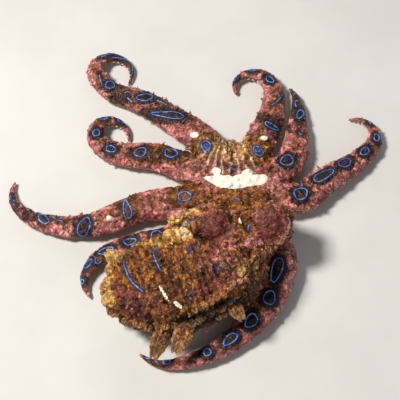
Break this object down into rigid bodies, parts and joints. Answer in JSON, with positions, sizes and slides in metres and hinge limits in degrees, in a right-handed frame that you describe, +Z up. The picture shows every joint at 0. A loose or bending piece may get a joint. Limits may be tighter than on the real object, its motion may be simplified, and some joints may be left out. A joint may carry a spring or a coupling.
{
  "type": "blue-lined octopus",
  "caption": "Life-size still octopus resting on spread, curling arms, with an egg-shaped mantle, raised eyes, siphon, web and rows of suckers.",
  "frame": {"origin": "under the middle of the octopus's box, on the floor that it rests on", "axes": "+Z up from the floor; -Y is the viewer's side in the picture, from which the mantle points left and towards the viewer; the arms reach mostly towards +Y and both sides"},
  "size_m": [0.0994, 0.0974, 0.0199],
  "materials": {
    "mantle_skin": "wet, mottled brown and mauve skin",
    "web_skin": "wet, mottled mauve and brown skin",
    "arm_skin": "wet, mottled mauve and brown skin with pale suckers",
    "siphon_skin": "wet, pale yellow-brown skin",
    "eye": "glossy eyeball with a golden iris and a dark slit pupil"
  },
  "bodies": {
    "root": {"mantle": "mantle_skin", "head": "mantle_skin", "eye_left": "eye", "eye_right": "eye", "siphon": "siphon_skin", "web_and_arm_roots": "web_skin", "arm_l1_1": "arm_skin", "arm_l1_2": "arm_skin", "arm_l1_3": "arm_skin", "arm_l1_4": "arm_skin", "arm_l2_1": "arm_skin", "arm_l2_2": "arm_skin", "arm_l2_3": "arm_skin", "arm_l2_4": "arm_skin", "arm_l3_1": "arm_skin", "arm_l3_2": "arm_skin", "arm_l3_3": "arm_skin", "arm_l3_4": "arm_skin", "arm_l4_1": "arm_skin", "arm_l4_2": "arm_skin", "arm_l4_3": "arm_skin", "arm_l4_4": "arm_skin", "arm_r1_1": "arm_skin", "arm_r1_2": "arm_skin", "arm_r1_3": "arm_skin", "arm_r1_4": "arm_skin", "arm_r2_1": "arm_skin", "arm_r2_2": "arm_skin", "arm_r2_3": "arm_skin", "arm_r2_4": "arm_skin", "arm_r3_1": "arm_skin", "arm_r3_2": "arm_skin", "arm_r3_3": "arm_skin", "arm_r3_4": "arm_skin", "arm_r4_1": "arm_skin", "arm_r4_2": "arm_skin", "arm_r4_3": "arm_skin", "arm_r4_4": "arm_skin"}
  },
  "joints": []
}
